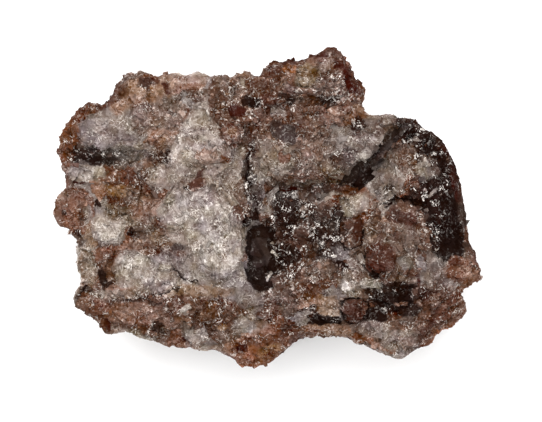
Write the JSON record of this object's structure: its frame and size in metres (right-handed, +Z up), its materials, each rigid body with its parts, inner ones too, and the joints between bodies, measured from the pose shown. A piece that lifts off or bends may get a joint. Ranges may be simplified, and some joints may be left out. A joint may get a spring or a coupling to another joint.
{
  "type": "moon rock",
  "caption": "Hand-sized piece of coarse crystalline rock with broken slabs, ledges, a dark hollow and a ragged rim, lying on a flat break.",
  "frame": {"origin": "middle of the rectangle that the rock covers, at the level of the flat break that it rests on", "axes": "+X along the rock's length, towards the end with the dark glassy crystals; +Y across it, towards the side with the horn; +Z up, out of the face with the slabs and the hollow"},
  "size_m": [0.107, 0.081, 0.041],
  "materials": {
    "rock": "rough, broken"
  },
  "bodies": {
    "root": {"rock": "rock"}
  },
  "joints": []
}
